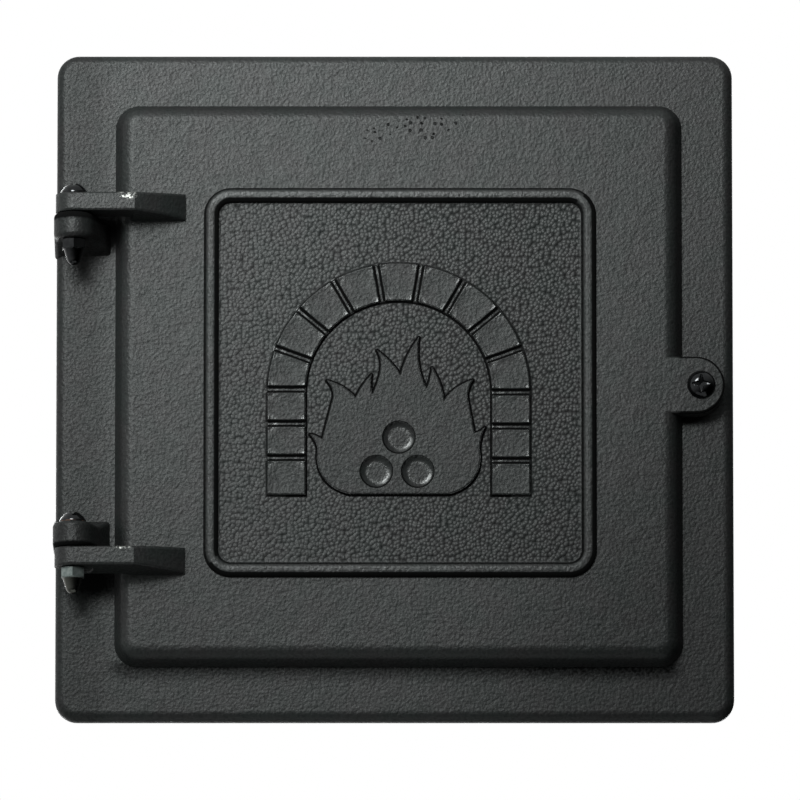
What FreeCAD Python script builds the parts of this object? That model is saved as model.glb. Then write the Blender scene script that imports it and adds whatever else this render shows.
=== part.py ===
"""Hinged cast iron flue door: a frame with a masonry collar, a leaf with a hearth in relief, two
bolted hinges and one closing screw.

Millimetres. X runs to the right, Z up, and the door's front looks along -Y. The origin is the centre
of the plate on its back face, which lies on the wall. Heights are counted from the plate's front.
"""
import FreeCAD, Part
import math
import os

# Frame casting: the opening, the plate round it and the collar behind it
opening_width = 220.0
opening_height = 220.0
opening_corner_radius = 8.0
plate_flange = 42.5
plate_thickness = 7.0
plate_corner_radius = 10.0
plate_edge_radius = 4.5
collar_depth = 40.0
collar_wall = 5.0
anchor_hole_radius = 4.0
anchor_hole_spacing = 140.0
anchor_hole_depth = 22.0

# Leaf casting: a hollow tray that laps over the opening and stands on the plate
leaf_side_lap = 17.7
leaf_end_lap = 18.45
leaf_shift_x = 1.8
leaf_lift = 0.25
leaf_rise = 10.7
leaf_corner_radius = 10.5
leaf_draft_degrees = 20.0
leaf_edge_radius = 6.2
leaf_wall = 5.0
leaf_rim_width = 9.0
seat_gap = 0.3

# Panel on the leaf, and the half-round bead round it, sized on its centre line
panel_drop = 0.7
bead_width = 169.9
bead_height = 171.2
bead_shift_x = 0.6
bead_lift = 0.55
bead_corner_radius = 9.0
bead_thickness = 6.8
bead_rise = 3.0
bead_edge_radius = 2.9

# Hearth relief, placed from the panel's centre
relief_rise = 1.75
arch_inner_radius = 42.0
arch_outer_radius = 59.0
arch_spring_z = -4.2
arch_foot_z = -50.9
voussoir_count = 9
leg_brick_count = 3
joint_width = 3.4
joint_depth = 1.35
left_joint_lift = 1.3
log_radius = 7.4
log_pitch = 18.6
log_row_height = 15.6
log_floor_z = -40.7
log_shift_x = -0.7
top_log_shift_x = 0.8
log_depth = 1.3
log_wall_slope = 1.3

# Flame outline, clockwise from the left foot: x, z and how far the stroke to the next point bows out
# to its left
flame_outline = [
    (-21.8, -50.7, 5.5),
    (-36.4, -30.0, -0.5),
    (-39.8, -23.4, 0.4),
    (-34.3, -25.7, 0.0),
    (-29.3, -6.2, -0.8),
    (-32.2, 1.1, 1.3),
    (-19.3, -6.7, 0.6),
    (-12.2, 3.9, -0.6),
    (-11.8, -5.1, -0.6),
    (-8.0, 7.3, -0.6),
    (-9.7, 15.0, 0.8),
    (0.8, 3.7, 1.0),
    (9.1, 20.9, -1.8),
    (12.5, -2.6, -0.4),
    (15.0, 7.1, 1.0),
    (20.4, -8.1, 1.6),
    (33.4, 1.4, -0.6),
    (30.9, -6.2, 0.0),
    (34.0, -22.9, -0.4),
    (38.8, -20.2, -0.5),
    (36.3, -30.0, 5.5),
    (22.5, -50.7, 0.0),
]

# Ear on the leaf's right side, for the closing screw
ear_radius = 13.0
ear_drop = 1.2
ear_overhang = 6.0
ear_edge_radius = 1.0
ear_hole_radius = 3.4
screw_overhang = 8.35

# Hinges: axis, arms on the leaf and lugs on the plate
hinge_inset = 8.2
hinge_rise = 19.8
hinge_end_inset = 47.65
hinge_drop = 1.0
hinge_face_gap = 0.3
pin_clearance = 0.1
arm_eye_radius = 8.2
arm_thickness = 8.3
arm_draft_degrees = 6.6
arm_edge_radius = 1.2
arm_bend = 9.0
arm_reach = 31.6
arm_tip_rise = 1.8
arm_belly = 1.3
arm_root_depth = 2.5
lug_eye_radius = 9.0
lug_thickness = 11.5
lug_foot_reach = 17.4
lug_edge_radius = 2.2
lug_root_depth = 13.3
lug_root_flare = 4.0
lug_root_start = 0.6
lug_root_edge_radius = 1.8

# Hinge bolts and cap nuts, 6 mm thread
bolt_radius = 3.0
bolt_head_radius = 6.0
bolt_head_rise = 5.2
head_rim_share = 0.22
bolt_tip_chamfer = 0.8
bolt_engagement = 8.0
nut_across_flats = 10.0
nut_hex_rise = 5.0
nut_corner_chamfer = 0.7
cap_radius = 4.6
cap_nose_radius = 3.2
cap_rise = 7.0
nut_bore_spare = 0.6
running_gap = 0.2

# Closing screw, 6 mm thread, its shank drawn at the thread's core
screw_head_radius = 6.3
screw_head_rise = 4.5
screw_core_radius = 2.4
screw_length = 16.0
screw_tip_chamfer = 0.6
tapped_hole_radius = 3.0
cross_length = 6.6
cross_width = 1.5
cross_depth = 2.4

# Sizes and places that follow from those above
plate_width = opening_width + 2 * plate_flange
plate_height = opening_height + 2 * plate_flange
leaf_width = opening_width + 2 * leaf_side_lap
leaf_height = opening_height + 2 * leaf_end_lap
plate_front = -plate_thickness
rim_y = plate_front - seat_gap
face_y = rim_y - leaf_rise
hinge_x = -plate_width / 2 + hinge_inset
hinge_y = plate_front - hinge_rise
lug_root_y = plate_front + plate_thickness / 2
leaf_left = leaf_shift_x - leaf_width / 2
leaf_right = leaf_shift_x + leaf_width / 2
screw_x = leaf_right + screw_overhang
panel_z = -panel_drop
hinge_spacing = leaf_height - 2 * hinge_end_inset
hinge_z = -hinge_drop
ear_z = -ear_drop
arm_bore_radius = bolt_radius + pin_clearance
OVERLAP = 1.0
SMALLEST_CORNER = 1.0
FILLET_SPARE = 0.2
TOLERANCE = 1e-4


def point(x, y, z):
    """A point of the part's frame."""
    return FreeCAD.Vector(x, y, z)


def line(start, end):
    """A straight edge."""
    return Part.LineSegment(start, end).toShape()


def arc(start, middle, end):
    """A circular edge through three points."""
    return Part.Arc(start, middle, end).toShape()


def rounded_rectangle(width, height, radius, y, centre_x=0.0, centre_z=0.0):
    """Closed wire of a rectangle with rounded corners, upright in the plane at y."""
    half_w = width / 2 - radius
    half_h = height / 2 - radius
    edges = []
    previous = None
    first = None
    for quarter, (side_x, side_z) in enumerate([(1, 1), (-1, 1), (-1, -1), (1, -1)]):
        corner_x = centre_x + side_x * half_w
        corner_z = centre_z + side_z * half_h
        start, middle, end = (
            point(
                corner_x + radius * math.cos(math.radians(90 * quarter + turn)),
                y,
                corner_z + radius * math.sin(math.radians(90 * quarter + turn)),
            )
            for turn in (0, 45, 90)
        )
        if previous is None:
            first = start
        else:
            edges.append(line(previous, start))
        edges.append(arc(start, middle, end))
        previous = end
    edges.append(line(previous, first))
    return Part.Wire(edges)


def block(width, height, radius, back_y, front_y, centre_x=0.0, centre_z=0.0):
    """Upright prism with rounded corners between two planes."""
    outline = rounded_rectangle(width, height, radius, back_y, centre_x, centre_z)
    return Part.Face(outline).extrude(point(0, front_y - back_y, 0))


def edges_in_plane(shape, y):
    """Edges of a shape that lie wholly in the upright plane at y."""
    found = []
    for edge in shape.Edges:
        box = edge.BoundBox
        if abs(box.YMin - y) < TOLERANCE and abs(box.YMax - y) < TOLERANCE:
            found.append(edge)
    return found


def edges_at_heights(shape, heights):
    """Edges of a shape that lie wholly in one of the level planes."""
    found = []
    for edge in shape.Edges:
        box = edge.BoundBox
        for z in heights:
            if abs(box.ZMin - z) < TOLERANCE and abs(box.ZMax - z) < TOLERANCE:
                found.append(edge)
    return found


def revolved(profile, x, y, z, axis):
    """Solid of revolution about an axis from (x, y, z).

    The profile is a closed run of corners (radius, height). A corner with four numbers is reached by
    an arc through its first pair.
    """
    edges = []
    previous = point(profile[-1][-2], 0, profile[-1][-1])
    for corner in profile:
        end = point(corner[-2], 0, corner[-1])
        if len(corner) == 4:
            edges.append(arc(previous, point(corner[0], 0, corner[1]), end))
        else:
            edges.append(line(previous, end))
        previous = end
    solid = Part.Face(Part.Wire(edges)).revolve(point(0, 0, 0), point(0, 0, 1), 360)
    turn = FreeCAD.Rotation(point(0, 0, 1), axis)
    solid.Placement = FreeCAD.Placement(point(x, y, z), turn)
    return solid


def dome_profile(radius, rise):
    """Half-section of a screw's head: a short upright rim, then a spherical crown."""
    rim = rise * head_rim_share
    crown = rise - rim
    sphere = (radius ** 2 + crown ** 2) / (2 * crown)
    half_turn = math.asin(radius / sphere) / 2
    middle = (sphere * math.sin(half_turn), rise - sphere * (1 - math.cos(half_turn)))
    return [(0, 0), (radius, 0), (radius, rim), middle + (0, rise)]


# Heights of the two hinges: the arm's middle, and the side of the arm that its lug lies on
hinges = {
    "upper": (hinge_z + hinge_spacing / 2, -1),
    "lower": (hinge_z - hinge_spacing / 2, 1),
}


def lug_span(arm_z, lug_side):
    """Lower and upper face of a lug, which lies against its arm with a small gap."""
    near = arm_z + lug_side * (arm_thickness / 2 + hinge_face_gap)
    far = near + lug_side * lug_thickness
    return min(near, far), max(near, far)


def lug_outline(low):
    """Face of a lug seen from above: an eye round the bolt, a straight left side and a sloping foot."""
    foot_x = hinge_x + lug_foot_reach
    run_y = lug_root_y - hinge_y
    distance = math.hypot(lug_foot_reach, run_y)
    tangent = math.atan2(run_y, lug_foot_reach) - math.acos(lug_eye_radius / distance)
    right = point(
        hinge_x + lug_eye_radius * math.cos(tangent),
        hinge_y + lug_eye_radius * math.sin(tangent),
        low,
    )
    left = point(hinge_x - lug_eye_radius, hinge_y, low)
    front = point(hinge_x, hinge_y - lug_eye_radius, low)
    root_left = point(hinge_x - lug_eye_radius, lug_root_y, low)
    root_right = point(foot_x, lug_root_y, low)
    outline = Part.Wire(
        [
            line(root_left, left),
            arc(left, front, right),
            line(right, root_right),
            line(root_right, root_left),
        ]
    )
    return Part.Face(outline)


def lug_root(low, high, lug_side):
    """Root of a lug: its outer side, away from the arm, slopes out towards the plate behind the eye."""
    neck_y = plate_front - lug_root_depth
    lean = (lug_root_flare + lug_root_start) / lug_root_depth
    flare = (lug_root_y - neck_y) * lean - lug_root_start
    inner, outer = (low, high) if lug_side > 0 else (high, low)
    start_x = hinge_x - lug_eye_radius - OVERLAP
    end_x = hinge_x + lug_foot_reach + OVERLAP
    wedge_corners = [
        point(start_x, neck_y, inner + lug_side * lug_edge_radius),
        point(start_x, neck_y, outer - lug_side * lug_root_start),
        point(start_x, lug_root_y, outer + lug_side * flare),
        point(start_x, lug_root_y, inner + lug_side * lug_edge_radius),
    ]
    wedge = Part.Face(Part.makePolygon(wedge_corners + wedge_corners[:1]))
    tall = lug_outline(low - flare).extrude(point(0, 0, high - low + 2 * flare))
    root = tall.common(wedge.extrude(point(end_x - start_x, 0, 0)))
    slants = []
    for edge in root.Edges:
        if min(edge.BoundBox.YLength, edge.BoundBox.ZLength) > OVERLAP:
            slants.append(edge)
    return root.makeFillet(lug_root_edge_radius, slants)


def hinge_lug(arm_z, lug_side):
    """Lug on the plate, with rounded rims and a flared root."""
    low, high = lug_span(arm_z, lug_side)
    lug = lug_outline(low).extrude(point(0, 0, high - low))
    rims = []
    for edge in edges_at_heights(lug, (low, high)):
        if edge.BoundBox.YMin < lug_root_y - TOLERANCE:
            rims.append(edge)
    return lug.makeFillet(lug_edge_radius, rims).fuse(lug_root(low, high, lug_side))


def pin_hole(radius, low, high):
    """Cutter for a round hole on the hinge axis."""
    return Part.makeCylinder(radius, high - low, point(hinge_x, hinge_y, low))


def make_frame():
    """Frame casting: plate, collar and hinge lugs."""
    plate = block(plate_width, plate_height, plate_corner_radius, 0, plate_front)
    plate = plate.makeFillet(plate_edge_radius, edges_in_plane(plate, plate_front))
    collar = block(
        opening_width + 2 * collar_wall,
        opening_height + 2 * collar_wall,
        opening_corner_radius + collar_wall,
        -OVERLAP,
        collar_depth,
    )
    lugs = [hinge_lug(*place) for place in hinges.values()]
    casting = plate.fuse([collar] + lugs)
    cutters = [
        block(
            opening_width,
            opening_height,
            opening_corner_radius,
            plate_front - OVERLAP,
            collar_depth + OVERLAP,
        ),
        Part.makeCylinder(
            tapped_hole_radius,
            plate_thickness + 2 * OVERLAP,
            point(screw_x, OVERLAP, ear_z),
            point(0, -1, 0),
        ),
    ]
    for place in hinges.values():
        low, high = lug_span(*place)
        cutters.append(pin_hole(arm_bore_radius, low - OVERLAP, high + OVERLAP))
    for side_z in (-1, 1):
        reach = opening_width + 2 * collar_wall + 2 * OVERLAP
        start = point(-reach / 2, anchor_hole_depth, side_z * anchor_hole_spacing / 2)
        cutters.append(Part.makeCylinder(anchor_hole_radius, reach, start, point(1, 0, 0)))
    return casting.cut(cutters).removeSplitter()


def tray_section(inset, y):
    """Outline of the leaf, drawn in by an inset, at one depth."""
    return rounded_rectangle(
        leaf_width - 2 * inset,
        leaf_height - 2 * inset,
        max(leaf_corner_radius - inset, SMALLEST_CORNER),
        y,
        leaf_shift_x,
        leaf_lift,
    )


def leaf_tray():
    """The leaf's body: a drafted block with a rounded front edge."""
    lean = math.tan(math.radians(leaf_draft_degrees))
    sections = [tray_section(0, rim_y), tray_section(leaf_rise * lean, face_y)]
    tray = Part.makeLoft(sections, True, True)
    front_radius = leaf_corner_radius - leaf_rise * lean
    radius = min(leaf_edge_radius, front_radius - FILLET_SPARE)
    return tray.makeFillet(radius, edges_in_plane(tray, face_y))


def leaf_hollow():
    """Cutter for the hollow behind the leaf's face, drafted as the outside is."""
    lean = math.tan(math.radians(leaf_draft_degrees))
    ceiling_y = face_y + leaf_wall
    depth = rim_y - ceiling_y
    sections = [
        tray_section(leaf_rim_width - OVERLAP * lean, rim_y + OVERLAP),
        tray_section(leaf_rim_width + depth * lean, ceiling_y),
    ]
    return Part.makeLoft(sections, True, True)


def bead():
    """Bead round the panel: a square ring with both front edges rounded over."""
    centre = (leaf_shift_x + bead_shift_x, panel_z + bead_lift)
    place = (face_y + OVERLAP, face_y - bead_rise) + centre
    half = bead_thickness / 2
    outer = block(
        bead_width + bead_thickness,
        bead_height + bead_thickness,
        bead_corner_radius + half,
        *place,
    )
    inner = block(
        bead_width - bead_thickness,
        bead_height - bead_thickness,
        bead_corner_radius - half,
        *place,
    )
    ring = outer.cut(inner)
    return ring.makeFillet(bead_edge_radius, edges_in_plane(ring, face_y - bead_rise))


def on_face(x, z, rise=0.0):
    """A point of the relief, from the panel's centre and up from the leaf's face."""
    return point(leaf_shift_x + x, face_y - rise, panel_z + z)


def raised(outline):
    """Relief of one outline that is drawn a little below the leaf's face."""
    return Part.Face(outline).extrude(point(0, -relief_rise - OVERLAP, 0))


def brick_arch():
    """Arch of bricks: half a ring on two straight legs, with a groove at each joint."""
    def upright(x, z):
        return on_face(x, z, -OVERLAP)

    foot_right = upright(arch_outer_radius, arch_foot_z)
    spring_right = upright(arch_outer_radius, arch_spring_z)
    crown = upright(0, arch_spring_z + arch_outer_radius)
    spring_left = upright(-arch_outer_radius, arch_spring_z)
    foot_left = upright(-arch_outer_radius, arch_foot_z)
    inner_foot_left = upright(-arch_inner_radius, arch_foot_z)
    inner_spring_left = upright(-arch_inner_radius, arch_spring_z)
    inner_crown = upright(0, arch_spring_z + arch_inner_radius)
    inner_spring_right = upright(arch_inner_radius, arch_spring_z)
    inner_foot_right = upright(arch_inner_radius, arch_foot_z)
    outline = Part.Wire(
        [
            line(foot_right, spring_right),
            arc(spring_right, crown, spring_left),
            line(spring_left, foot_left),
            line(foot_left, inner_foot_left),
            line(inner_foot_left, inner_spring_left),
            arc(inner_spring_left, inner_crown, inner_spring_right),
            line(inner_spring_right, inner_foot_right),
            line(inner_foot_right, foot_right),
        ]
    )
    length = arch_outer_radius - arch_inner_radius + 2 * OVERLAP
    groove_floor = face_y - relief_rise + joint_depth
    grooves = []

    def groove(centre_z, turn):
        """Groove across the bricks: a bar that starts at a centre and is turned about it."""
        bar = Part.makeBox(
            length,
            joint_depth + OVERLAP,
            joint_width,
            point(arch_inner_radius - OVERLAP, groove_floor - joint_depth - OVERLAP, -joint_width / 2),
        )
        bar.rotate(point(0, 0, 0), point(0, -1, 0), turn)
        bar.translate(point(leaf_shift_x, 0, panel_z + centre_z))
        return bar

    for joint in range(voussoir_count):
        grooves.append(groove(arch_spring_z, 180.0 * joint / voussoir_count))
    grooves.append(groove(arch_spring_z + left_joint_lift, 180))
    brick_height = (arch_spring_z - arch_foot_z) / leg_brick_count
    for joint in range(1, leg_brick_count):
        joint_z = arch_spring_z - joint * brick_height
        grooves.append(groove(joint_z, 0))
        grooves.append(groove(joint_z + left_joint_lift, 180))
    return raised(outline).cut(grooves)


def flame():
    """Flame with its log ends: tongues drawn as bowed strokes, and three dished rounds."""
    edges = []
    count = len(flame_outline)
    for index, (x, z, bow) in enumerate(flame_outline):
        next_x, next_z, _ = flame_outline[(index + 1) % count]
        start = on_face(x, z, -OVERLAP)
        end = on_face(next_x, next_z, -OVERLAP)
        if bow == 0:
            edges.append(line(start, end))
            continue
        stroke = math.hypot(next_x - x, next_z - z)
        middle = on_face(
            (x + next_x) / 2 - bow * (next_z - z) / stroke,
            (z + next_z) / 2 + bow * (next_x - x) / stroke,
            -OVERLAP,
        )
        edges.append(arc(start, middle, end))
    fire = raised(Part.Wire(edges))
    top = log_floor_z + log_row_height
    places = [
        (log_shift_x - log_pitch / 2, log_floor_z),
        (log_shift_x + log_pitch / 2, log_floor_z),
        (log_shift_x + top_log_shift_x, top),
    ]
    dishes = []
    for x, z in places:
        dishes.append(
            Part.makeCone(
                log_radius - log_wall_slope,
                log_radius,
                log_depth,
                on_face(x, z, relief_rise - log_depth),
                point(0, -1, 0),
            )
        )
    return fire.cut(dishes)


def hinge_arm(arm_z, lug_side):
    """Hinge arm: a fin with an eye, thicker towards the leaf, that slopes down to the leaf's face."""
    front_y = hinge_y - arm_eye_radius
    back_y = hinge_y + arm_eye_radius
    root_y = face_y + arm_root_depth
    bend_x = leaf_left + arm_bend
    tip_x = leaf_left + arm_reach
    tip_y = face_y - arm_tip_rise
    root_x = bend_x - arm_root_depth
    slope_x = tip_x - bend_x
    slope_y = tip_y - front_y
    slope = math.hypot(slope_x, slope_y)
    base_z = arm_z - lug_thickness
    eye_front = point(hinge_x, front_y, base_z)
    eye_left = point(hinge_x - arm_eye_radius, hinge_y, base_z)
    eye_back = point(hinge_x, back_y, base_z)
    root_start = point(root_x, back_y, base_z)
    root_left = point(bend_x, max(root_y, back_y + OVERLAP), base_z)
    root_right = point(tip_x, max(root_y, back_y + OVERLAP), base_z)
    tip = point(tip_x, tip_y, base_z)
    belly = point(
        (bend_x + tip_x) / 2 + arm_belly * slope_y / slope,
        (front_y + tip_y) / 2 - arm_belly * slope_x / slope,
        base_z,
    )
    bend = point(bend_x, front_y, base_z)
    outline = Part.Wire(
        [
            arc(eye_front, eye_left, eye_back),
            line(eye_back, root_start),
            line(root_start, root_left),
            line(root_left, root_right),
            line(root_right, tip),
            arc(tip, belly, bend),
            line(bend, eye_front),
        ]
    )
    fin = Part.Face(outline).extrude(point(0, 0, 2 * lug_thickness))
    lean = math.tan(math.radians(arm_draft_degrees))
    half_front = arm_thickness / 2
    far_y = root_left.y + OVERLAP
    half_back = half_front + (far_y - front_y) * lean
    near_y = front_y - OVERLAP
    half_near = half_front - OVERLAP * lean
    start_x = hinge_x - arm_eye_radius - OVERLAP
    wedge_corners = [
        point(start_x, near_y, arm_z - half_near),
        point(start_x, near_y, arm_z + half_near),
        point(start_x, far_y, arm_z + half_back),
        point(start_x, far_y, arm_z - half_back),
    ]
    wedge = Part.Face(Part.makePolygon(wedge_corners + wedge_corners[:1]))
    fin = fin.common(wedge.extrude(point(tip_x + OVERLAP - start_x, 0, 0)))
    front_edges = []
    for edge in fin.Edges:
        box = edge.BoundBox
        runs_along = box.XLength > OVERLAP
        if runs_along and box.YMin < face_y - arm_tip_rise / 2 and box.YMax < back_y - TOLERANCE:
            front_edges.append(edge)
    fin = fin.makeFillet(arm_edge_radius, front_edges)
    foot = math.hypot(lug_foot_reach, hinge_rise)
    seats = []
    for side, radius in ((lug_side, foot + hinge_face_gap), (-lug_side, arm_eye_radius + OVERLAP)):
        seat_z = arm_z + side * half_front
        seats.append(
            Part.makeCylinder(radius, lug_thickness, point(hinge_x, hinge_y, seat_z), point(0, 0, side))
        )
    return fin.cut(seats)


def ear():
    """Ear beside the leaf: a round-ended lug as high as the leaf's face."""
    centre_x = leaf_right + ear_overhang
    root_x = leaf_right - leaf_rim_width
    low = point(root_x, rim_y, ear_z - ear_radius)
    low_end = point(centre_x, rim_y, ear_z - ear_radius)
    nose = point(centre_x + ear_radius, rim_y, ear_z)
    high_end = point(centre_x, rim_y, ear_z + ear_radius)
    high = point(root_x, rim_y, ear_z + ear_radius)
    outline = Part.Wire(
        [line(low, low_end), arc(low_end, nose, high_end), line(high_end, high), line(high, low)]
    )
    lug = Part.Face(outline).extrude(point(0, face_y - rim_y, 0))
    rims = [edge for edge in edges_in_plane(lug, face_y) if edge.BoundBox.XMax > root_x + TOLERANCE]
    return lug.makeFillet(ear_edge_radius, rims)


def make_leaf():
    """Leaf casting: tray, ear, hinge arms, bead and relief, hollow behind."""
    arms = [hinge_arm(*place) for place in hinges.values()]
    casting = leaf_tray().fuse([ear(), bead(), brick_arch(), flame()] + arms)
    cutters = [
        leaf_hollow(),
        Part.makeCylinder(
            ear_hole_radius,
            leaf_rise + 2 * OVERLAP,
            point(screw_x, rim_y + OVERLAP, ear_z),
            point(0, -1, 0),
        ),
    ]
    for arm_z, _ in hinges.values():
        cutters.append(pin_hole(arm_bore_radius, arm_z - lug_thickness, arm_z + lug_thickness))
    return casting.cut(cutters).removeSplitter()


def stack_span(arm_z, lug_side):
    """Lowest and highest face of one hinge, with a running gap on the arm's outer side."""
    low, high = lug_span(arm_z, lug_side)
    arm_outer = arm_z - lug_side * (arm_thickness / 2 + running_gap)
    return min(low, arm_outer), max(high, arm_outer)


def cross_recess(x, y, z, axis):
    """Cutter for a cross recess that is sunk from the top of a head's crown."""
    bars = []
    height = cross_depth + OVERLAP
    for size_x, size_y in ((cross_length, cross_width), (cross_width, cross_length)):
        bars.append(Part.makeBox(size_x, size_y, height, point(-size_x / 2, -size_y / 2, -cross_depth)))
    cutter = bars[0].fuse(bars[1])
    turn = FreeCAD.Rotation(point(0, 0, 1), axis)
    cutter.Placement = FreeCAD.Placement(point(x, y, z), turn)
    return cutter


def make_hinge_bolt(arm_z, lug_side):
    """Hinge bolt: a domed head on top of the stack and a plain shank down into the cap nut."""
    low, high = stack_span(arm_z, lug_side)
    tip_z = low - bolt_engagement
    shank = [
        (0, 0),
        (bolt_radius - bolt_tip_chamfer, 0),
        (bolt_radius, bolt_tip_chamfer),
        (bolt_radius, high - tip_z + OVERLAP),
        (0, high - tip_z + OVERLAP),
    ]
    up = point(0, 0, 1)
    head = revolved(dome_profile(bolt_head_radius, bolt_head_rise), hinge_x, hinge_y, high, up)
    bolt = head.fuse(revolved(shank, hinge_x, hinge_y, tip_z, up))
    recess = cross_recess(hinge_x, hinge_y, high + bolt_head_rise, up)
    return bolt.cut(recess).removeSplitter()


def make_hinge_nut(arm_z, lug_side):
    """Cap nut below the stack: a chamfered hexagon, a domed cap and a blind bore."""
    low, _ = stack_span(arm_z, lug_side)
    corner = nut_across_flats / 2 / math.cos(math.radians(30))
    turns = [math.radians(60 * side + 30) for side in range(6)]
    ring = [point(corner * math.cos(turn), corner * math.sin(turn), 0) for turn in turns]
    hexagon = Part.Face(Part.makePolygon(ring + ring[:1])).extrude(point(0, 0, nut_hex_rise))
    flat = nut_across_flats / 2
    barrel = [
        (0, 0),
        (flat, 0),
        (corner, nut_corner_chamfer),
        (corner, nut_hex_rise - nut_corner_chamfer),
        (flat, nut_hex_rise),
        (0, nut_hex_rise),
    ]
    hexagon = hexagon.common(revolved(barrel, 0, 0, 0, point(0, 0, 1)))
    nose_height = cap_rise - cap_nose_radius
    slant = math.hypot(cap_radius, nose_height)
    lean = math.acos(cap_nose_radius / slant) - math.atan2(nose_height, cap_radius)
    middle = (lean + math.radians(90)) / 2
    nose_z = nut_hex_rise + nose_height
    cap_profile = [
        (0, nut_hex_rise - OVERLAP),
        (cap_radius, nut_hex_rise - OVERLAP),
        (cap_radius, nut_hex_rise),
        (cap_nose_radius * math.cos(lean), nose_z + cap_nose_radius * math.sin(lean)),
        (
            cap_nose_radius * math.cos(middle),
            nose_z + cap_nose_radius * math.sin(middle),
            0,
            nose_z + cap_nose_radius,
        ),
    ]
    cap = revolved(cap_profile, 0, 0, 0, point(0, 0, 1))
    bore = Part.makeCylinder(bolt_radius + pin_clearance, bolt_engagement + nut_bore_spare)
    nut = hexagon.fuse(cap).cut(bore).removeSplitter()
    turn = FreeCAD.Rotation(point(1, 0, 0), 180)
    nut.Placement = FreeCAD.Placement(point(hinge_x, hinge_y, low), turn)
    return nut


def make_closing_screw():
    """Closing screw: a round head on the ear's face and a shank that reaches into the plate."""
    out = point(0, -1, 0)
    shank = [
        (0, 0),
        (screw_core_radius - screw_tip_chamfer, 0),
        (screw_core_radius, screw_tip_chamfer),
        (screw_core_radius, screw_length + OVERLAP),
        (0, screw_length + OVERLAP),
    ]
    head = revolved(dome_profile(screw_head_radius, screw_head_rise), screw_x, face_y, ear_z, out)
    screw = head.fuse(revolved(shank, screw_x, face_y + screw_length, ear_z, out))
    recess = cross_recess(screw_x, face_y - screw_head_rise, ear_z, out)
    return screw.cut(recess).removeSplitter()


os.makedirs("parts", exist_ok=True)
pieces = {"frame": make_frame(), "door_leaf": make_leaf(), "closing_screw": make_closing_screw()}
for name, place in hinges.items():
    pieces[name + "_hinge_bolt"] = make_hinge_bolt(*place)
    pieces[name + "_hinge_nut"] = make_hinge_nut(*place)
for name, shape in pieces.items():
    shape.exportStep("parts/" + name + ".step")
    print(name, len(shape.Solids), shape.isValid(), round(shape.Volume))
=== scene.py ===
import math
import bpy
import numpy as np
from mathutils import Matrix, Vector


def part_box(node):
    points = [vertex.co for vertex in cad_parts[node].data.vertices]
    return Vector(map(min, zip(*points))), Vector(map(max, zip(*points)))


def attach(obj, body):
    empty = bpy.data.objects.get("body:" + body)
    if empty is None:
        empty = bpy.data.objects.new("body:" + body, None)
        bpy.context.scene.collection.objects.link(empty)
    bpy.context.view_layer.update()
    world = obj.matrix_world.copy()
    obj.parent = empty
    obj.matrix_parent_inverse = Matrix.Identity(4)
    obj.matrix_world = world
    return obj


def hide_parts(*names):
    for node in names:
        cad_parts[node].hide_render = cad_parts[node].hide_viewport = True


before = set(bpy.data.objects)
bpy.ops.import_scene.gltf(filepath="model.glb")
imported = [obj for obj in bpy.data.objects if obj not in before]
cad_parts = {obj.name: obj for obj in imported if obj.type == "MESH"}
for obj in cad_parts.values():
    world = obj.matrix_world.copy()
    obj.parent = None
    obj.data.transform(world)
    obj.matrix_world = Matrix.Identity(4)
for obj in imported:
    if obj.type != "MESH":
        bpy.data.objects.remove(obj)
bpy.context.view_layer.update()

# Frame casting
# One grey iron casting: the square plate, the collar that is bricked in behind it and the two hinge
# lugs. It was poured in sand, fettled at the edges and sprayed with black heat-proof paint.
MM = 0.001
cool_paint = (0.0120, 0.0146, 0.0140, 1)
warm_paint = (0.0152, 0.0146, 0.0150, 1)
bare_iron = (0.46, 0.46, 0.44, 1)
shade_and_film_black = (0.003, 0.003, 0.003, 1)
paint_roughness = 0.42
roughness_spread = 0.14
cloud_size = 16 * MM
patch_size = 1.3 * MM
sand_size = 1.35 * MM
pebble_size = 1.65 * MM
lump_size = 7 * MM
# Heights on the skin, in millimetres: of the sand, what it loses among pebbles, and of the rest.
sand_height = 0.34
sand_loss = 0.22
pebble_height = 0.5
lump_height = 0.22
pit_depth = 0.5
# Shares of painted shade in the hollows of the sand and in the pits, and what rubbing takes off.
sand_hollow_shade = 0.24
pit_shade = 0.7
rubbed_flat = 0.8
rubbed_shine = 0.28
# Shares of pebbles and of painted shade at the lower right, painted shadow, and the darker left margin.
corner_pebbles = 0.2
lower_right_shade_share = 0.22
below_leaf_shadow = 0.65
corner_shadow = 1.5
left_margin_darkening = 0.2


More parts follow.
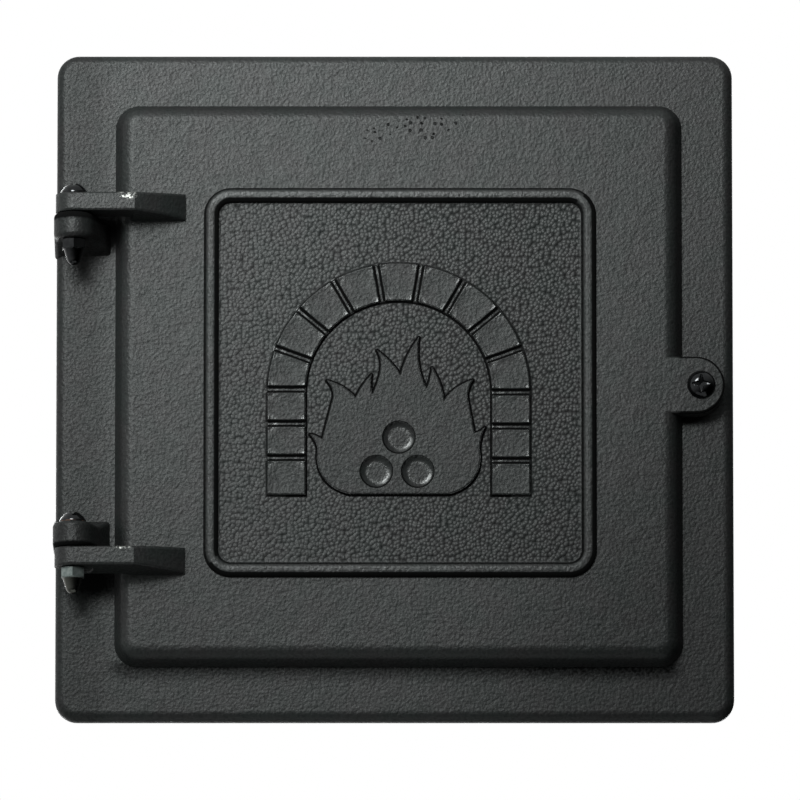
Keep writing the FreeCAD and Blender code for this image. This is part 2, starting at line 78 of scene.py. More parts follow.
class Shade:
    """A value in a material's node tree. Arithmetic on it adds Math nodes to that tree."""

    def __init__(self, tree, socket=None):
        self.tree = tree
        self.socket = socket

    def node(self, kind, settings=None, inputs=None, output=0):
        """Add a node of this type: its settings first, then the value or link of each socket."""
        made = self.tree.nodes.new(kind)
        for name, value in (settings or {}).items():
            setattr(made, name, value)
        for key, value in (inputs or {}).items():
            if isinstance(value, Shade):
                self.tree.links.new(value.socket, made.inputs[key])
            else:
                made.inputs[key].default_value = value
        return Shade(self.tree, made.outputs[output])

    def math(self, operation, first, second=0.0):
        return self.node("ShaderNodeMath", {"operation": operation}, {0: first, 1: second})

    def __add__(self, other):
        return self.math("ADD", self, other)

    def __radd__(self, other):
        return self.math("ADD", other, self)

    def __sub__(self, other):
        return self.math("SUBTRACT", self, other)

    def __rsub__(self, other):
        return self.math("SUBTRACT", other, self)

    def __mul__(self, other):
        return self.math("MULTIPLY", self, other)

    def __rmul__(self, other):
        return self.math("MULTIPLY", other, self)

    def __abs__(self):
        return self.math("ABSOLUTE", self)

    def step(self, low, high):
        """0 at low, 1 at high, a smooth ramp between them; low may be the larger one."""
        sockets = {"Value": self, "From Min": low, "From Max": high}
        return self.node("ShaderNodeMapRange", {"interpolation_type": "SMOOTHSTEP"}, sockets)

    def noise(self, size, detail):
        """Fractal noise from 0 to 1 on these coordinates, with spots about as large as size."""
        sockets = {"Vector": self, "Scale": 1 / size, "Detail": detail}
        return self.node("ShaderNodeTexNoise", {}, sockets)

    def hollows(self, size):
        """Depth between close-set round pebbles about as large as size, 0 on their crowns.

        It is the squared distance from the nearest seed of a random pattern, in pebbles. The pattern is
        flat and runs slantwise through the part, so that no face of a casting lies along it.
        """
        x, y, z = self.axes()
        slant = y * 0.7
        flat = self.node("ShaderNodeCombineXYZ", {}, {0: x + slant, 1: z + slant})
        sockets = {"Vector": flat, "Scale": 1 / size}
        distance = self.node("ShaderNodeTexVoronoi", {"voronoi_dimensions": "2D"}, sockets)
        return distance * distance

    def blend(self, first, second):
        """Colour that goes from the first to the second as this value goes from 0 to 1."""
        sockets = {0: self, 6: first, 7: second}
        return self.node("ShaderNodeMix", {"data_type": "RGBA"}, sockets, output=2)

    def axes(self):
        """The three numbers of these coordinates."""
        return [self.node("ShaderNodeSeparateXYZ", {}, {0: self}, output=index) for index in range(3)]

    def spot(self, centre, radii):
        """1 in the middle of an ellipsoid, 0 from its skin outwards; centre and radii in millimetres."""
        centre = [length * MM for length in centre]
        radii = [length * MM for length in radii]
        away = self.node("ShaderNodeVectorMath", {"operation": "SUBTRACT"}, {0: self, 1: centre})
        away = self.node("ShaderNodeVectorMath", {"operation": "DIVIDE"}, {0: away, 1: radii})
        length = self.node("ShaderNodeVectorMath", {"operation": "LENGTH"}, {0: away}, output=1)
        return length.step(1.0, 0.0)


def new_material(name):
    """Material with a Principled shader; returns the material, its shader and its object coordinates."""
    material = bpy.data.materials.new(name)
    material.use_nodes = True
    tree = material.node_tree
    place = Shade(tree).node("ShaderNodeTexCoord", output=3)
    return material, tree.nodes["Principled BSDF"], place


def feed(shader, name, value):
    """Link a value to one of the shader's sockets."""
    value.tree.links.new(value.socket, shader.inputs[name])


def cast_paint(name, pebbles=None, pits=None, worn=None, rubbed=None, shade_and_film=None):
    """Black heat-proof paint on a sand-cast skin.

    Colour: two close greys mixed by clouds. Bump: sand grains, pebbles in their place, and shallow
    lumps. A second and quite dull black shader is painted shade in the hollows of the sand and in
    the pits. The arguments turn coordinates into masks: where the skin is pebbled, where it is pitted,
    where the paint has worn off to bright metal, where it is rubbed smooth, and where painted shade or a
    film of darker paint lies on it.
    """
    material, shader, place = new_material(name)
    clouds = place.noise(cloud_size, detail=3)
    colour = clouds.step(0.36, 0.64).blend(cool_paint, warm_paint)
    roughness = paint_roughness + place.noise(patch_size, detail=2) * roughness_spread
    sand = place.noise(sand_size, detail=2)
    # Painted shade: the hollows of the sand are darkened.
    shade_and_film_share = sand.step(0.62, 0.28) * sand_hollow_shade
    grain = sand * sand_height
    if pebbles:
        stones = pebbles(place)
        grain = sand * (sand_height - stones * sand_loss)
        grain = grain - place.hollows(pebble_size) * stones * pebble_height
    if rubbed:
        smooth = rubbed(place)
        grain = grain * (1 - smooth * rubbed_flat)
        roughness = roughness - smooth * rubbed_shine
    height = place.noise(lump_size, detail=1) * lump_height + grain
    if pits:
        holes = pits(place)
        # Painted shade in the pits.
        shade_and_film_share = shade_and_film_share + holes * pit_shade
        height = height - holes * pit_depth
    if shade_and_film:
        shade_and_film_share = shade_and_film_share + shade_and_film(place)
    if worn:
        bare = worn(place)
        colour = bare.blend(colour, bare_iron)
        feed(shader, "Metallic", bare)
    feed(shader, "Base Color", colour)
    feed(shader, "Roughness", roughness)
    sockets = {"Strength": 1.0, "Distance": MM, "Height": height}
    feed(shader, "Normal", place.node("ShaderNodeBump", {}, sockets))
    # The dull black shader is painted shade, together with thin films of darker paint, mixed in by its
    # share.
    dull = {"Base Color": shade_and_film_black, "Roughness": 1.0, "Specular IOR Level": 0.1}
    black = place.node("ShaderNodeBsdfPrincipled", {}, dull)
    painted = Shade(place.tree, shader.outputs[0])
    factor = place.math("MINIMUM", shade_and_film_share, 1.0)
    mixed = place.node("ShaderNodeMixShader", {}, {0: factor, 1: painted, 2: black})
    feed(place.tree.nodes["Material Output"], "Surface", mixed)
    return material


def lower_right(place):
    """The plate's skin is more pebbled towards its lower right corner."""
    x, _, z = place.axes()
    return (x * 0.6 - z * 0.8).step(-60 * MM, 140 * MM) * corner_pebbles


def lower_right_shade(place):
    """Painted shade that deepens towards the lower right."""
    x, _, z = place.axes()
    return (x - z * 0.6).step(80 * MM, 180 * MM) * lower_right_shade_share


def plate_shade(place):
    """Painted shade on the hinge lugs next to the arms, and painted shadows behind the arms and below the
    leaf and its ear.

    The plate's left margin is darker too, and painted shade deepens towards its lower right.
    """
    x, y, z = place.axes()
    upper_lug = z.step(71.4 * MM, 73.2 * MM)
    lower_lug = z.step(-74.6 * MM, -76.4 * MM)
    lugs = place.math("MAXIMUM", upper_lug, lower_lug) * y.step(-8 * MM, -11 * MM)
    # Painted shadow in a band on the plate below the leaf's lower edge.
    band = z.step(-136.7 * MM, -128.5 * MM) * z.step(-125 * MM, -127 * MM)
    below_leaf = band * abs(x).step(132 * MM, 122 * MM) * y.step(-3 * MM, -5 * MM) * below_leaf_shadow
    shade_and_film = place.math("MAXIMUM", lugs, below_leaf)
    # Painted shadows behind the arms and below the ear.
    behind_upper = place.spot((-129, -8, 70), (15, 9, 13)) * corner_shadow
    behind_lower = place.spot((-134, -7, -89), (20, 6, 14))
    below_ear = place.spot((131, -7, -14), (15, 4, 5)) * corner_shadow
    for corner in (behind_upper, behind_lower, below_ear):
        shade_and_film = place.math("MAXIMUM", shade_and_film, corner)
    left_margin = x.step(-126 * MM, -136 * MM)
    return shade_and_film + lower_right_shade(place) + left_margin * left_margin_darkening


plate_paint = cast_paint("plate_paint", pebbles=lower_right, shade_and_film=plate_shade)
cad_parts["frame"].data.materials[0] = plate_paint

# Leaf casting
# A second iron casting, hollow behind: the raised leaf with its half-round bead, two hinge arms and the
# ear for the closing screw. Gas pits show on its top border, the field inside the bead has a pebbled
# grain, and the paint has worn off the arms' bends.
bead_middle = (2.4 * MM, -0.15 * MM)
bead_half = (84.95 * MM, 85.6 * MM)
bead_corner = 9.0 * MM
bead_foot = 3.4 * MM
ear_middle = (135.5 * MM, -1.2 * MM)
ear_radius = 13.0 * MM
ear_rim_shade = 0.85
leaf_film = 0.03
crest_rub = 0.35
pit_spacing = 3.4 * MM


def bead_distance(place):
    """Distance from the bead's centre line, a rectangle with rounded corners; negative inside it."""
    x, _, z = place.axes()
    over_x = abs(x - bead_middle[0]) - (bead_half[0] - bead_corner)
    over_z = abs(z - bead_middle[1]) - (bead_half[1] - bead_corner)
    corner_x = place.math("MAXIMUM", over_x, 0.0)
    corner_z = place.math("MAXIMUM", over_z, 0.0)
    outside = place.math("SQRT", corner_x * corner_x + corner_z * corner_z)
    inside = place.math("MINIMUM", place.math("MAXIMUM", over_x, over_z), 0.0)
    return outside + inside - bead_corner


def leaf_front(place):
    """1 on the leaf's front, 0 on its sides and behind it."""
    _, y, _ = place.axes()
    return y.step(-15 * MM, -16.5 * MM)


def pebbled_field(place):
    """The panel's front inside the bead, less on its left, and faintly the border's lower right."""
    x, _, _ = place.axes()
    field = bead_distance(place).step(-bead_foot, -bead_foot - 1.0 * MM) * leaf_front(place)
    field = field * (0.62 + x.step(-80 * MM, 60 * MM) * 0.46)
    return place.math("MAXIMUM", field, lower_right(place))


def dark_lines(place):
    """Painted shade along both feet of the bead and on the ear's rim, on the front, and a painted shadow
    behind the upper arm.

    A thin film of darker paint lies all over, and painted shade deepens towards the lower right. The
    bead's line is wider on its shadow side: the inner one above and on the left, and the outer one below
    and on the right.
    """
    x, _, z = place.axes()
    distance = bead_distance(place)
    upper_left = (z - x).step(-3 * MM, 3 * MM) * 2 - 1
    shadow_side = (upper_left * distance).step(0.5 * MM, -0.5 * MM)
    away = abs(distance)
    start = bead_foot - 1.1 * MM - shadow_side * 0.9 * MM
    end = bead_foot + 0.25 * MM
    bead = (away - start).step(-0.3 * MM, 0.3 * MM) * away.step(end, end - 0.5 * MM)
    bead = bead * (0.75 + shadow_side * 0.25)
    beside = place.math("MAXIMUM", x - ear_middle[0], 0.0)
    over = z - ear_middle[1]
    ear = place.math("SQRT", beside * beside + over * over)
    ear = ear.step(ear_radius - 1.2 * MM, ear_radius - 0.7 * MM)
    ear = ear * x.step(ear_middle[0] - 10 * MM, ear_middle[0] - 6 * MM)
    lines = place.math("MAXIMUM", bead, ear * ear_rim_shade) * leaf_front(place)
    # Painted shadow behind the upper arm.
    behind_arm = place.spot((-126, -11, 70), (8, 9, 11)) * corner_shadow
    return place.math("MAXIMUM", lines, behind_arm) + lower_right_shade(place) + leaf_film


def gas_pits(place):
    """Round pits in a band on the top border: one for some of the cells of a random pattern.

    A pit is where the distance from the cell's seed is small; a cell has one if its own random number
    is under the band's density there.
    """
    x, _, z = place.axes()
    flat = place.node("ShaderNodeCombineXYZ", {}, {0: x, 1: z})
    settings = {"voronoi_dimensions": "2D"}
    sockets = {"Vector": flat, "Scale": 1 / pit_spacing}
    distance = place.node("ShaderNodeTexVoronoi", settings, sockets)
    chance = place.node("ShaderNodeTexVoronoi", settings, sockets, output=1).axes()
    dense = place.spot((3, -18, 118), (34, 9, 10)) * 0.8
    sparse = place.spot((8, -18, 117), (65, 9, 13)) * 0.2
    chosen = (place.math("MAXIMUM", dense, sparse) - chance[0]).step(0.0, 0.02)
    radius = 0.10 + chance[1] * 0.13
    return (radius - distance).step(-0.02, 0.06) * chosen


def worn_bends(place):
    """Bright metal on the upper front edge of both arms, just left of where they bend."""
    scuffs = place.noise(1.1 * MM, detail=2).step(0.44, 0.62)
    upper = place.spot((-120.0, -35, 82.8), (7.0, 3, 3.6))
    lower = place.spot((-122, -35, -78.0), (6.5, 3, 1.6))
    return (place.math("MAXIMUM", upper, lower) * 1.7 - 0.25).step(0.0, 0.8) * scuffs


def rubbed_bead(place):
    """The crest of the bead's level runs, rubbed smooth."""
    _, _, z = place.axes()
    crest = abs(bead_distance(place)).step(1.6 * MM, 0.6 * MM) * leaf_front(place)
    level_runs = abs(z - bead_middle[1]).step(bead_half[1] - 6 * MM, bead_half[1] - 3 * MM)
    return crest * level_runs * crest_rub


leaf_paint = cast_paint(
    "leaf_paint",
    pebbles=pebbled_field,
    pits=gas_pits,
    worn=worn_bends,
    rubbed=rubbed_bead,
    shade_and_film=dark_lines,
)
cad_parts["door_leaf"].data.materials[0] = leaf_paint

# Brick arch
# The arch stands on the leaf's panel and is cast with it. The pattern was carved by hand: nine wedge
# bricks over two legs of three, slightly dished, with square grooves for the joints.
face_y = -18.0
relief_x = 1.8
relief_z = -0.7
relief_rise = 2.3
wall_width = 0.85
sunk = 0.6
arch_inner = 41.85
arch_outer = 59.15
arch_spring = -4.2
arch_foot = -51.05
voussoirs = 9
leg_bricks = 3
left_joint_lift = 1.3
joint_width = 2.6
groove_floor = 0.45
brick_dish = 0.45
apron_rise = 0.05
apron_width = 0.5
apron_drop = 0.3
step_along = 0.26
step_across = 0.25
dish_reach = 7.0
# Shares of painted shade on the arch's outer and inner edges, and of a film of darker paint over it.
outer_edge_shade = 0.3
inner_edge_shade = 0.8
arch_film = 0.15


def ramp(value, low, high):
    """0 at low, 1 at high, and 3t2 - 2t3 between; low may be the larger one."""
    t = np.clip((value - low) / (high - low), 0, 1)
    return t * t * (3 - 2 * t)


def arch_grid():
    """Points of the arch's middle line and of lines beside it.

    Rows run up the left leg, over the crown and down the right leg, past each foot by a strip. Columns
    run from the outer edge to the inner one, past each by the same. Returns x, z, the distance outside
    the middle line and the distance beyond the arch's edge.
    """
    middle = (arch_inner + arch_outer) / 2
    spare = wall_width + apron_width + 0.2
    leg = arch_spring - arch_foot + spare
    bow = math.pi * middle
    along = np.linspace(-leg, bow + leg, int((bow + 2 * leg) / step_along))[:, None]
    half = (arch_outer - arch_inner) / 2 + spare
    across = np.linspace(half, -half, int(2 * half / step_across))[None, :]
    angle = math.pi - np.clip(along, 0, bow) / middle
    below = np.minimum(along, 0) + np.minimum(bow - along, 0)
    x = (middle + across) * np.cos(angle)
    z = arch_spring + (middle + across) * np.sin(angle) * (below >= 0) + below
    beyond = np.maximum(np.abs(across) - (arch_outer - arch_inner) / 2, arch_foot - z)
    return x, z, across + 0 * along, beyond


def joint_distance(x, z):
    """Distance from the nearest joint, square to its line.

    A joint of the bow points at its centre; one of a leg lies level, a little higher on the left.
    """
    up = np.maximum(z - arch_spring, 0)
    turn = np.arctan2(up, x) * voussoirs / math.pi
    whole = np.clip(np.round(turn), 1, voussoirs - 1)
    bow_joint = np.hypot(x, up) * np.abs(np.sin((turn - whole) * math.pi / voussoirs))
    brick = (arch_spring - arch_foot) / leg_bricks
    course = (arch_spring + left_joint_lift * (x < 0) - z) / brick
    leg_joint = np.abs(course - np.clip(np.round(course), 0, leg_bricks - 1)) * brick
    return np.minimum(np.where(up > 0, bow_joint, np.inf), leg_joint)


def grid_faces(rows, columns):
    """Quads between the points of a grid that is stored row by row."""
    corner = (np.arange(rows - 1)[:, None] * columns + np.arange(columns - 1)[None, :]).ravel()
    return np.stack([corner, corner + 1, corner + columns + 1, corner + columns], axis=1)


def mesh_piece(name, points, faces, material, crease=None):
    """Mesh object from points in millimetres and faces; edges sharper than the crease angle stay sharp."""
    mesh = bpy.data.meshes.new(name)
    mesh.from_pydata((points * MM).tolist(), [], faces)
    mesh.polygons.foreach_set("use_smooth", np.ones(len(mesh.polygons), bool))
    if crease:
        mesh.set_sharp_from_angle(angle=math.radians(crease))
    mesh.materials.append(material)
    piece = bpy.data.objects.new(name, mesh)
    bpy.context.scene.collection.objects.link(piece)
    return piece


def relief_height(distance, rise):
    """Height of a relief from the distance to the middle of its wall, negative inside.

    The wall is a smooth ramp. At its foot a thin apron lies on the leaf, then the height drops into it.
    """
    foot = wall_width / 2
    drop = ramp(distance, foot + apron_width, foot + apron_width + apron_drop)
    return apron_rise + (rise - apron_rise) * ramp(distance, foot, -foot) - (apron_rise + sunk) * drop


def wall_shade(distance):
    """Painted shade: 1 on the lower half of a wall and on the apron at its foot, 0 elsewhere."""
    end = wall_width / 2 + apron_width
    return ramp(distance, -0.25, 0.0) * ramp(distance, end + 0.05, end - 0.15)


def relief_piece(name, x, z, height, marks, material):
    """Closed relief on the leaf: a grid of heights, sides down into the leaf and a flat back.

    The sides hang from the grid's border, walked anticlockwise as seen from the front. The marks, such
    as painted shade, go to the mesh as a number at each point.
    """
    rows, columns = x.shape
    top = np.stack([relief_x + x, face_y - height, relief_z + z], axis=-1).reshape(-1, 3)
    index = np.arange(rows * columns).reshape(rows, columns)
    border = np.concatenate([index[0, :-1], index[:-1, -1], index[-1, :0:-1], index[:0:-1, 0]])
    rear = top[border]
    rear[:, 1] = face_y + 2 * sunk
    below = len(top) + np.arange(len(border))
    sides = np.stack([border, below, np.roll(below, -1), np.roll(border, -1)], axis=1)
    faces = grid_faces(rows, columns).tolist() + sides.tolist() + [below[::-1].tolist()]
    piece = mesh_piece(name, np.concatenate([top, rear]), faces, material, crease=75)
    for mark, values in marks.items():
        layer = piece.data.attributes.new(mark, "FLOAT", "POINT")
        values = np.concatenate([values.ravel(), np.zeros(len(rear))])
        layer.data.foreach_set("value", values.astype(np.float32))
    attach(piece, "door")


def carved_shade(place):
    """The painted shade, and film of darker paint, that a relief's mesh carries."""
    return place.node("ShaderNodeAttribute", {"attribute_name": "shade_and_film"}, output=2)


def carved_edges(place):
    """The rubbed places that a relief's mesh carries."""
    return place.node("ShaderNodeAttribute", {"attribute_name": "rubbed"}, output=2)


relief_paint = cast_paint("relief_paint", rubbed=carved_edges, shade_and_film=carved_shade)
x, z, across, beyond = arch_grid()
joint = joint_width / 2 - joint_distance(x, z)
off_edge = np.clip(1 + beyond / (arch_outer - arch_inner) * 2, 0, 1)
off_joint = np.clip(1 + joint / dish_reach, 0, 1)
dish = brick_dish * (1 - (off_edge ** 4 + off_joint ** 4) / 2)
ring = relief_height(beyond, groove_floor)
bricks = np.minimum(relief_height(beyond, relief_rise - dish), relief_height(joint, relief_rise - dish))
height = np.maximum(ring, bricks)
# Painted shade on the walls and in the joints, deeper on the inner edge under the arch.
edge_shade = wall_shade(beyond) * np.where(across > 0, outer_edge_shade, inner_edge_shade)
shade_and_film = np.maximum(wall_shade(joint) * (beyond < 0), edge_shade) + arch_film
rubbed = ramp(off_edge + off_joint, 1.2, 1.75)
relief_piece("brick_arch", x, z, height, {"shade_and_film": shade_and_film, "rubbed": rubbed}, relief_paint)

# Flame
# The flame lies inside the arch and is cast with the leaf too: a flat figure with five tongues, and
# three round sinks for the ends of the logs.
flame_rise = 2.05
flame_swell = 0.15
flame_film = 0.18
flame_margin = 2
flame_columns = 312
flame_rows = 288
log_radius = 7.4
log_wall = 0.7
log_bowl = 0.8
log_places = ((-10.0, -40.5), (8.6, -40.5), (0.1, -24.9))
flame_outline = np.array([
    (-21.8, -50.7, 5.5), (-36.4, -30.0, -0.5), (-39.8, -23.4, 0.4), (-34.3, -25.7, 0.0),
    (-29.3, -6.2, -0.8), (-32.2, 1.1, 1.3), (-19.3, -6.7, 0.6), (-12.2, 3.9, -0.6),
    (-11.8, -5.1, -0.6), (-8.0, 7.3, -0.6), (-9.7, 15.0, 0.8), (0.8, 3.7, 1.0),
    (9.1, 20.9, -1.8), (12.5, -2.6, -0.4), (15.0, 7.1, 1.0), (20.4, -8.1, 1.6),
    (33.4, 1.4, -0.6), (30.9, -6.2, 0.0), (34.0, -22.9, -0.4), (38.8, -20.2, -0.5),
    (36.3, -30.0, 5.5), (22.5, -50.7, 0.0),
])


def flame_distance(x, z, chords=10):
    """Distance from the flame's outline, negative inside.

    Each row of the outline is a point and how far the stroke to the next one bows out to its left, as
    a parabola. The distance is the smallest one to the strokes' short chords, and a point is inside
    if a level ray from it crosses the outline an odd number of times.
    """
    start = flame_outline[:, :2]
    stroke = np.roll(start, -1, axis=0) - start
    left = np.stack([-stroke[:, 1], stroke[:, 0]], axis=1) / np.linalg.norm(stroke, axis=1, keepdims=True)
    t = np.arange(chords) / chords
    bow = 4 * t * (1 - t)
    line = start[:, None] + t[None, :, None] * stroke[:, None]
    line = line + bow[None, :, None] * (flame_outline[:, 2:, None] * left[:, None])
    a = line.reshape(-1, 2)
    b = np.roll(a, -1, axis=0)
    nearest = np.full(x.shape, np.inf)
    inside = np.zeros(x.shape, bool)
    for (ax, az), (bx, bz) in zip(a, b):
        dx, dz = bx - ax, bz - az
        along = np.clip(((x - ax) * dx + (z - az) * dz) / (dx * dx + dz * dz), 0, 1)
        nearest = np.minimum(nearest, (x - ax - along * dx) ** 2 + (z - az - along * dz) ** 2)
        crosses = (az > z) != (bz > z)
        with np.errstate(divide="ignore", invalid="ignore"):
            inside ^= crosses & (x < ax + (z - az) * dx / dz)
    return np.where(inside, -1, 1) * np.sqrt(nearest)


low_x, low_z = flame_outline[:, :2].min(axis=0) - flame_margin
high_x, high_z = flame_outline[:, :2].max(axis=0) + flame_margin
x, z = np.meshgrid(np.linspace(low_x, high_x, flame_columns), np.linspace(low_z, high_z, flame_rows))
fire = flame_distance(x, z) - flame_swell
height = relief_height(fire, flame_rise)
# Painted shade on the flame's wall and apron and round the rims of the log sinks, with a thin film of
# darker paint over all.
shade_and_film = wall_shade(fire)
rubbed = np.zeros(x.shape)
for log_x, log_z in log_places:
    sink = np.hypot(x - log_x, z - log_z)
    bowl = 1 - np.minimum(sink / log_radius, 1) ** 4
    height = height - log_wall * ramp(sink, log_radius + 0.1, log_radius - 0.5) - log_bowl * bowl
    rim = ramp(sink, log_radius + 0.2, log_radius) * ramp(sink, log_radius - 0.6, log_radius - 0.3)
    shade_and_film = np.maximum(shade_and_film, rim)
    rubbed = np.maximum(rubbed, ramp(sink, 3.0, 5.5) * (sink < log_radius - 0.5))
relief_piece("flame", x, z, height, {"shade_and_film": shade_and_film + flame_film, "rubbed": rubbed}, relief_paint)

# Hinge bolts
# Two 6 mm bolts with domed, polished black heads hang in the hinges, heads up. The lower one has a line
# of rust where its head sits on the lug.
dark_black = (0.036, 0.036, 0.038, 1)
light_black = (0.054, 0.054, 0.056, 1)
rust_brown = (0.11, 0.045, 0.020, 1)
bolt_radius = 3.0
bolt_head = {"radius": 6.0, "rise": 5.2, "power": 2.5}
lower_head_seat = -65.85
points_round = 96
# Shares of a head's rise or radius: its rim, and the length, width and depth of its cross recess.
head_rim = 0.22
recess_length = 0.66
recess_width = 0.42
recess_depth = 0.55


def polished_black(name, rust=None):
    """Blackened, polished steel with faint smears; rust turns coordinates into a mask of brown rust."""
    material, shader, place = new_material(name)
    smear = place.noise(2.5 * MM, detail=3).step(0.3, 0.7)
    colour = smear.blend(dark_black, light_black)
    roughness = 0.10 + smear * 0.07
    shader.inputs["Metallic"].default_value = 1.0
    if rust:
        scale = rust(place)
        colour = scale.blend(colour, rust_brown)
        roughness = roughness + scale * 0.5
        feed(shader, "Metallic", 1.0 - scale)
    feed(shader, "Base Color", colour)
    feed(shader, "Roughness", roughness)
    return material


def cross_recess(a, b, length, width, depth):
    """Depth of a cross recess: a four-pointed star whose floor rises towards its tips."""
    along = np.maximum(np.abs(a), np.abs(b))
    across = np.minimum(np.abs(a), np.abs(b))
    half = width / 2 * (1.0 - 0.8 * np.minimum(along / length, 1))
    wall = ramp(across, half + 0.16, half - 0.16) * ramp(along, length + 0.2, length - 0.2)
    return depth * (1 - 0.75 * np.minimum(along / length, 1)) * wall


def head_rows(radius, rise, turn, power):
    """Radius and height of a domed head's rows: under side, short rim, then a crown with a cross recess.

    The crown falls from the middle as a power of the radius, so a high power makes a flatter pan head.
    The recess is sunk from it.
    """
    rim = rise * head_rim
    r = np.concatenate([np.linspace(radius - 0.12, radius, 3)[:-1], np.linspace(radius, 0.05, 60)])
    dome = rise - (rise - rim) * (r / radius) ** power
    dome[:2] = (0.0, 0.12)
    r = r[:, None] + 0 * turn
    length = radius * recess_length
    width = radius * recess_width
    recess = cross_recess(r * np.cos(turn), r * np.sin(turn), length, width, rise * recess_depth)
    return r, dome[:, None] - recess


def shank_rows(radius, length, turn, pitch=0.0, depth=0.0):
    """Radius and height of a shank's rows from its tip up to the head; a pitch gives it a thread.

    The thread's ridge is a triangle wave of the height less one pitch for each turn.
    """
    h = np.linspace(-length, 0.0, max(int(length / 0.12), 4))[:, None]
    wave = 0.0
    if pitch:
        wave = np.abs(((h / pitch - turn / (2 * math.pi)) % 1.0) - 0.5) * 2
    taper = 0.6 * ramp(h, -length + 1.0, -length)
    return np.maximum(radius + depth * wave - taper, 0.5) + 0 * turn, h + 0 * turn


def turned_piece(name, radius, height, origin, axis, material, crease):
    """Closed surface round an axis: rows of radius and height over the turn, capped at both ends.

    The first side of the piece's own frame is X, and the second is square to it and to the axis.
    """
    rows, columns = radius.shape
    turn = np.arange(columns) * 2 * math.pi / columns
    axis = np.array(axis, float)
    second = np.cross(axis, (1, 0, 0))
    a = (radius * np.cos(turn))[..., None] * np.array((1, 0, 0))
    b = (radius * np.sin(turn))[..., None] * second
    points = np.array(origin) + a + b + height[..., None] * axis
    corner = np.arange(columns)
    after = (corner + 1) % columns
    start = (np.arange(rows - 1) * columns)[:, None]
    ahead = start + columns
    quads = np.stack([start + corner, start + after, ahead + after, ahead + corner], axis=2)
    caps = [corner[::-1].tolist(), ((rows - 1) * columns + corner).tolist()]
    return mesh_piece(name, points.reshape(-1, 3), quads.reshape(-1, 4).tolist() + caps, material, crease)


def bolt_piece(node, body, head, shank, origin, axis, material):
    """Screw or bolt in place of its CAD node: a shank's rows, then a head's rows."""
    turn = np.arange(points_round) * 2 * math.pi / points_round
    shank_radius, shank_height = shank_rows(turn=turn, **shank)
    crown_radius, crown_height = head_rows(turn=turn, **head)
    radius = np.concatenate([shank_radius, crown_radius])
    height = np.concatenate([shank_height, crown_height])
    piece = turned_piece(node + "_turned", radius, height, origin, axis, material, crease=38)
    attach(piece, body)
    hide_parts(node)


def rust_line(place):
    """Rust on the lowest half millimetre of the lower bolt's head, in patches along the rim."""
    _, _, z = place.axes()
    patches = place.noise(2.2 * MM, detail=2).step(0.40, 0.55)
    return (z - lower_head_seat * MM).step(0.8 * MM, 0.3 * MM) * patches


black_steel = polished_black("black_steel")
rusty_steel = polished_black("rusty_black_steel", rust=rust_line)
for name, material in (("upper_hinge_bolt", black_steel), ("lower_hinge_bolt", rusty_steel)):
    low, high = (np.array(corner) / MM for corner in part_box(name))
    origin = ((low[0] + high[0]) / 2, (low[1] + high[1]) / 2, high[2] - bolt_head["rise"])
    shank = {"radius": bolt_radius, "length": origin[2] - low[2]}
    bolt_piece(name, "frame", bolt_head, shank, origin, (0, 0, 1), material)

# Hinge nuts
# A cap nut closes each bolt from below: a chamfered hexagon, turned to a cone with a round nose. The
# upper one is black; the lower one is a newer nut with dull zinc on the hexagon.
hexagon_rise = 5.0
across_flats = 10.0
chamfer_start = 0.96
chamfer_slope = 1.75
cap_rise = 7.0
cap_radii = (4.6, 4.5)
cap_step = 0.15
cap_lean = math.radians(14)
nose_radius = 3.2
nose_end = math.radians(89.2)
dark_zinc = (0.20, 0.23, 0.225, 1)
light_zinc = (0.30, 0.33, 0.32, 1)
cap_grey = (0.10, 0.10, 0.09, 1)


def zinc(name, seat):
    """Zinc-plated steel, dull on the hexagon and darker and smoother on the cap; seat is the nut's top."""
    material, shader, place = new_material(name)
    _, _, z = place.axes()
    cap = (seat * MM - z).step((hexagon_rise - 0.3) * MM, (hexagon_rise + 0.3) * MM)
    smear = place.noise(1.6 * MM, detail=3)
    plated = smear.step(0.3, 0.7).blend(dark_zinc, light_zinc)
    feed(shader, "Base Color", cap.blend(plated, cap_grey))
    feed(shader, "Roughness", 0.46 - cap * 0.26 + smear * 0.1)
    shader.inputs["Metallic"].default_value = 1.0
    return material


def nut_rows(turn):
    """Radius and height of a cap nut's rows, from the seat to the nose.

    The hexagon's radius is its half width over the cosine of the turn from the nearest flat's middle,
    cut by two cones for the chamfers. The cap is a cone that runs smoothly into a round nose.
    """
    half = across_flats / 2
    sixth = math.pi / 3
    flat = half / np.cos((turn + sixth / 2) % sixth - sixth / 2)
    levels = np.linspace(0, hexagon_rise, 26)[:, None]
    chamfer = half * chamfer_start + chamfer_slope * np.minimum(levels, hexagon_rise - levels)
    hexagon = np.minimum(flat, chamfer)
    seat_radius = np.array([[0.05], [half * 0.5]])
    t = np.linspace(0, 1, 34)[:, None]
    angle = cap_lean + t * (nose_end - cap_lean)
    nose_height = hexagon_rise + cap_rise - nose_radius
    foot_radius = np.array(cap_radii)[:, None]
    foot_height = np.array([[hexagon_rise], [hexagon_rise + cap_step]])
    cap_radius = np.concatenate([foot_radius, nose_radius * np.cos(angle)])
    cap_height = np.concatenate([foot_height, nose_height + nose_radius * np.sin(angle)])
    radius = np.concatenate([seat_radius + 0 * turn, hexagon, cap_radius + 0 * turn])
    height = np.concatenate([0 * seat_radius, levels, cap_height]) + 0 * turn
    return radius, height


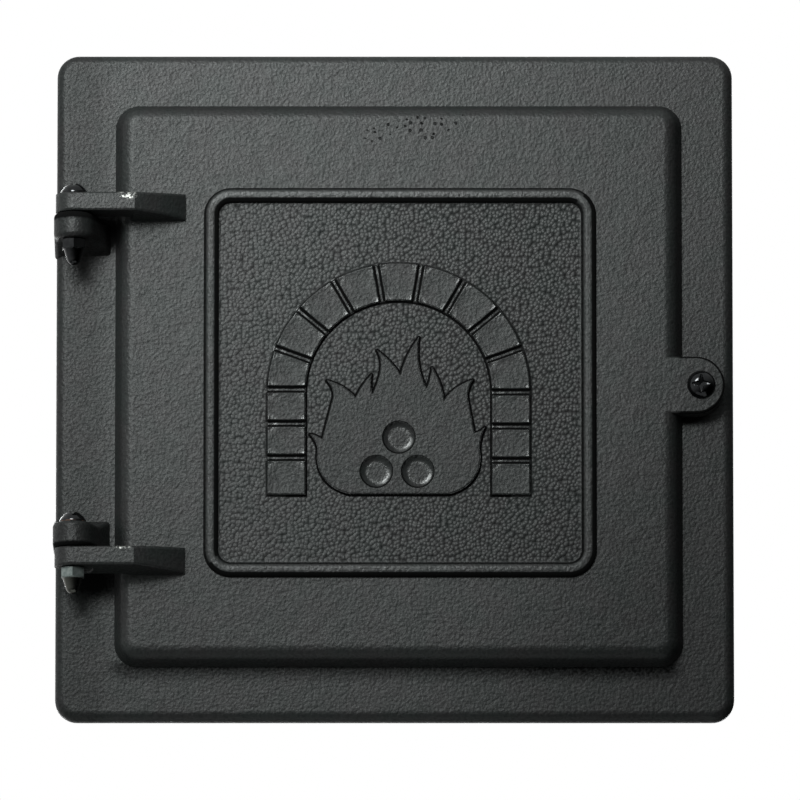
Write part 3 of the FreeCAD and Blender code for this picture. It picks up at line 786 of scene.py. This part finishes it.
for name, slot in (("upper_hinge_nut", "dark_steel"), ("lower_hinge_nut", "zinc_steel")):
    low, high = (np.array(corner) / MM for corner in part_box(name))
    material = black_steel if slot == "dark_steel" else zinc("zinc_steel", high[2])
    origin = ((low[0] + high[0]) / 2, (low[1] + high[1]) / 2, high[2])
    radius, height = nut_rows(np.arange(points_round) * 2 * math.pi / points_round)
    nut = turned_piece(name + "_turned", radius, height, origin, (0, 0, -1), material, crease=25)
    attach(nut, "frame")
    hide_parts(name)

# Closing screw
# A 6 mm screw with a domed head and a cross recess. It goes through the leaf's ear into the plate, and
# its thread shows when it is out.
screw_head = {"radius": 6.3, "rise": 4.5, "power": 3.6}
thread_core = 2.4
thread_pitch = 1.0
thread_depth = 0.5
low, high = (np.array(corner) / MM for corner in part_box("closing_screw"))
origin = ((low[0] + high[0]) / 2, low[1] + screw_head["rise"], (low[2] + high[2]) / 2)
shank = {
    "radius": thread_core,
    "length": high[1] - origin[1],
    "pitch": thread_pitch,
    "depth": thread_depth,
}
bolt_piece("closing_screw", "screw", screw_head, shank, origin, (0, -1, 0), black_steel)

# Studio
# A square soft lamp and a tall one stand before the door at its upper left, and one stands behind it. A
# weak fill is brighter from the left and above. The backdrop is white, and far below is a pale floor.
lamp_tint = (0.95, 1.0, 0.985)
black = (0.0, 0.0, 0.0, 1)
fill_grey = (0.61, 0.64, 0.63, 1)
white = (1, 1, 1, 1)
floor_half = 1.5
floor_level = -2.4
floor_mesh = bpy.data.meshes.new("floor")
signs = ((-1, -1), (1, -1), (1, 1), (-1, 1))
floor_corners = [(a * floor_half, b * floor_half, floor_level) for a, b in signs]
floor_mesh.from_pydata(floor_corners, [], [(0, 1, 2, 3)])
floor = bpy.data.objects.new("floor", floor_mesh)
bpy.context.scene.collection.objects.link(floor)
floor_paint, floor_shader, _ = new_material("floor_paint")
floor_shader.inputs["Base Color"].default_value = (0.8, 0.8, 0.8, 1)
floor_shader.inputs["Roughness"].default_value = 0.9
floor_mesh.materials.append(floor_paint)


def lamp(name, place, target, size, power, spread):
    """Area lamp of a width and height that looks at a target, with its beam narrowed to an angle."""
    data = bpy.data.lights.new(name, "AREA")
    data.shape = "RECTANGLE"
    data.size, data.size_y = size
    data.energy = power
    data.color = lamp_tint
    data.spread = math.radians(spread)
    made = bpy.data.objects.new(name, data)
    bpy.context.scene.collection.objects.link(made)
    made.location = place
    toward = Vector(target) - Vector(place)
    made.rotation_euler = toward.to_track_quat("-Z", "Y").to_euler()


lamp("key_lamp", (-0.28, -0.89, 0.45), (-0.06, 0.0, 0.19), (0.50, 0.50), 0.72, 36)
lamp("tall_lamp", (-0.28, -0.86, 0.50), (-0.10, 0.0, 0.16), (0.40, 1.00), 0.34, 36)
lamp("back_lamp", (0.0, 1.6, 0.3), (0.0, 0.0, 0.0), (1.0, 1.0), 14.0, 120)

world = bpy.data.worlds.new("studio")
bpy.context.scene.world = world
world.use_nodes = True
sky = world.node_tree
background = sky.nodes["Background"]
path = Shade(sky).node("ShaderNodeLightPath")
seen = Shade(sky, path.socket.node.outputs["Is Camera Ray"])
glossy = Shade(sky, path.socket.node.outputs["Is Glossy Ray"])
through = Shade(sky, path.socket.node.outputs["Is Transmission Ray"])
direction = Shade(sky).node("ShaderNodeTexCoord", output=0)
side, depth, up = direction.axes()
behind = (depth - side * 0.6).step(0.7, 1.1)
shown = seen.math("MAXIMUM", seen, (glossy + through) * behind)
fill = (up * 0.75 - side * 0.65).step(-0.8, 0.9).blend(black, fill_grey)
feed(background, "Color", shown.blend(fill, white))

camera_distance = 7.0
camera_drop = math.radians(10.4)
view_width = 0.3603
sensor_width = 36
target = Vector((0.0024, -0.007, -0.0062))
back = Vector((0, -math.cos(camera_drop), -math.sin(camera_drop)))
camera_data = bpy.data.cameras.new("camera")
camera_data.sensor_width = sensor_width
camera_data.lens = sensor_width * camera_distance / view_width
camera_data.clip_end = 100
camera = bpy.data.objects.new("camera", camera_data)
bpy.context.scene.collection.objects.link(camera)
camera.location = target + back * camera_distance
camera.rotation_euler = (-back).to_track_quat("-Z", "Y").to_euler()
bpy.context.scene.camera = camera
bpy.context.scene.view_settings.view_transform = "Standard"
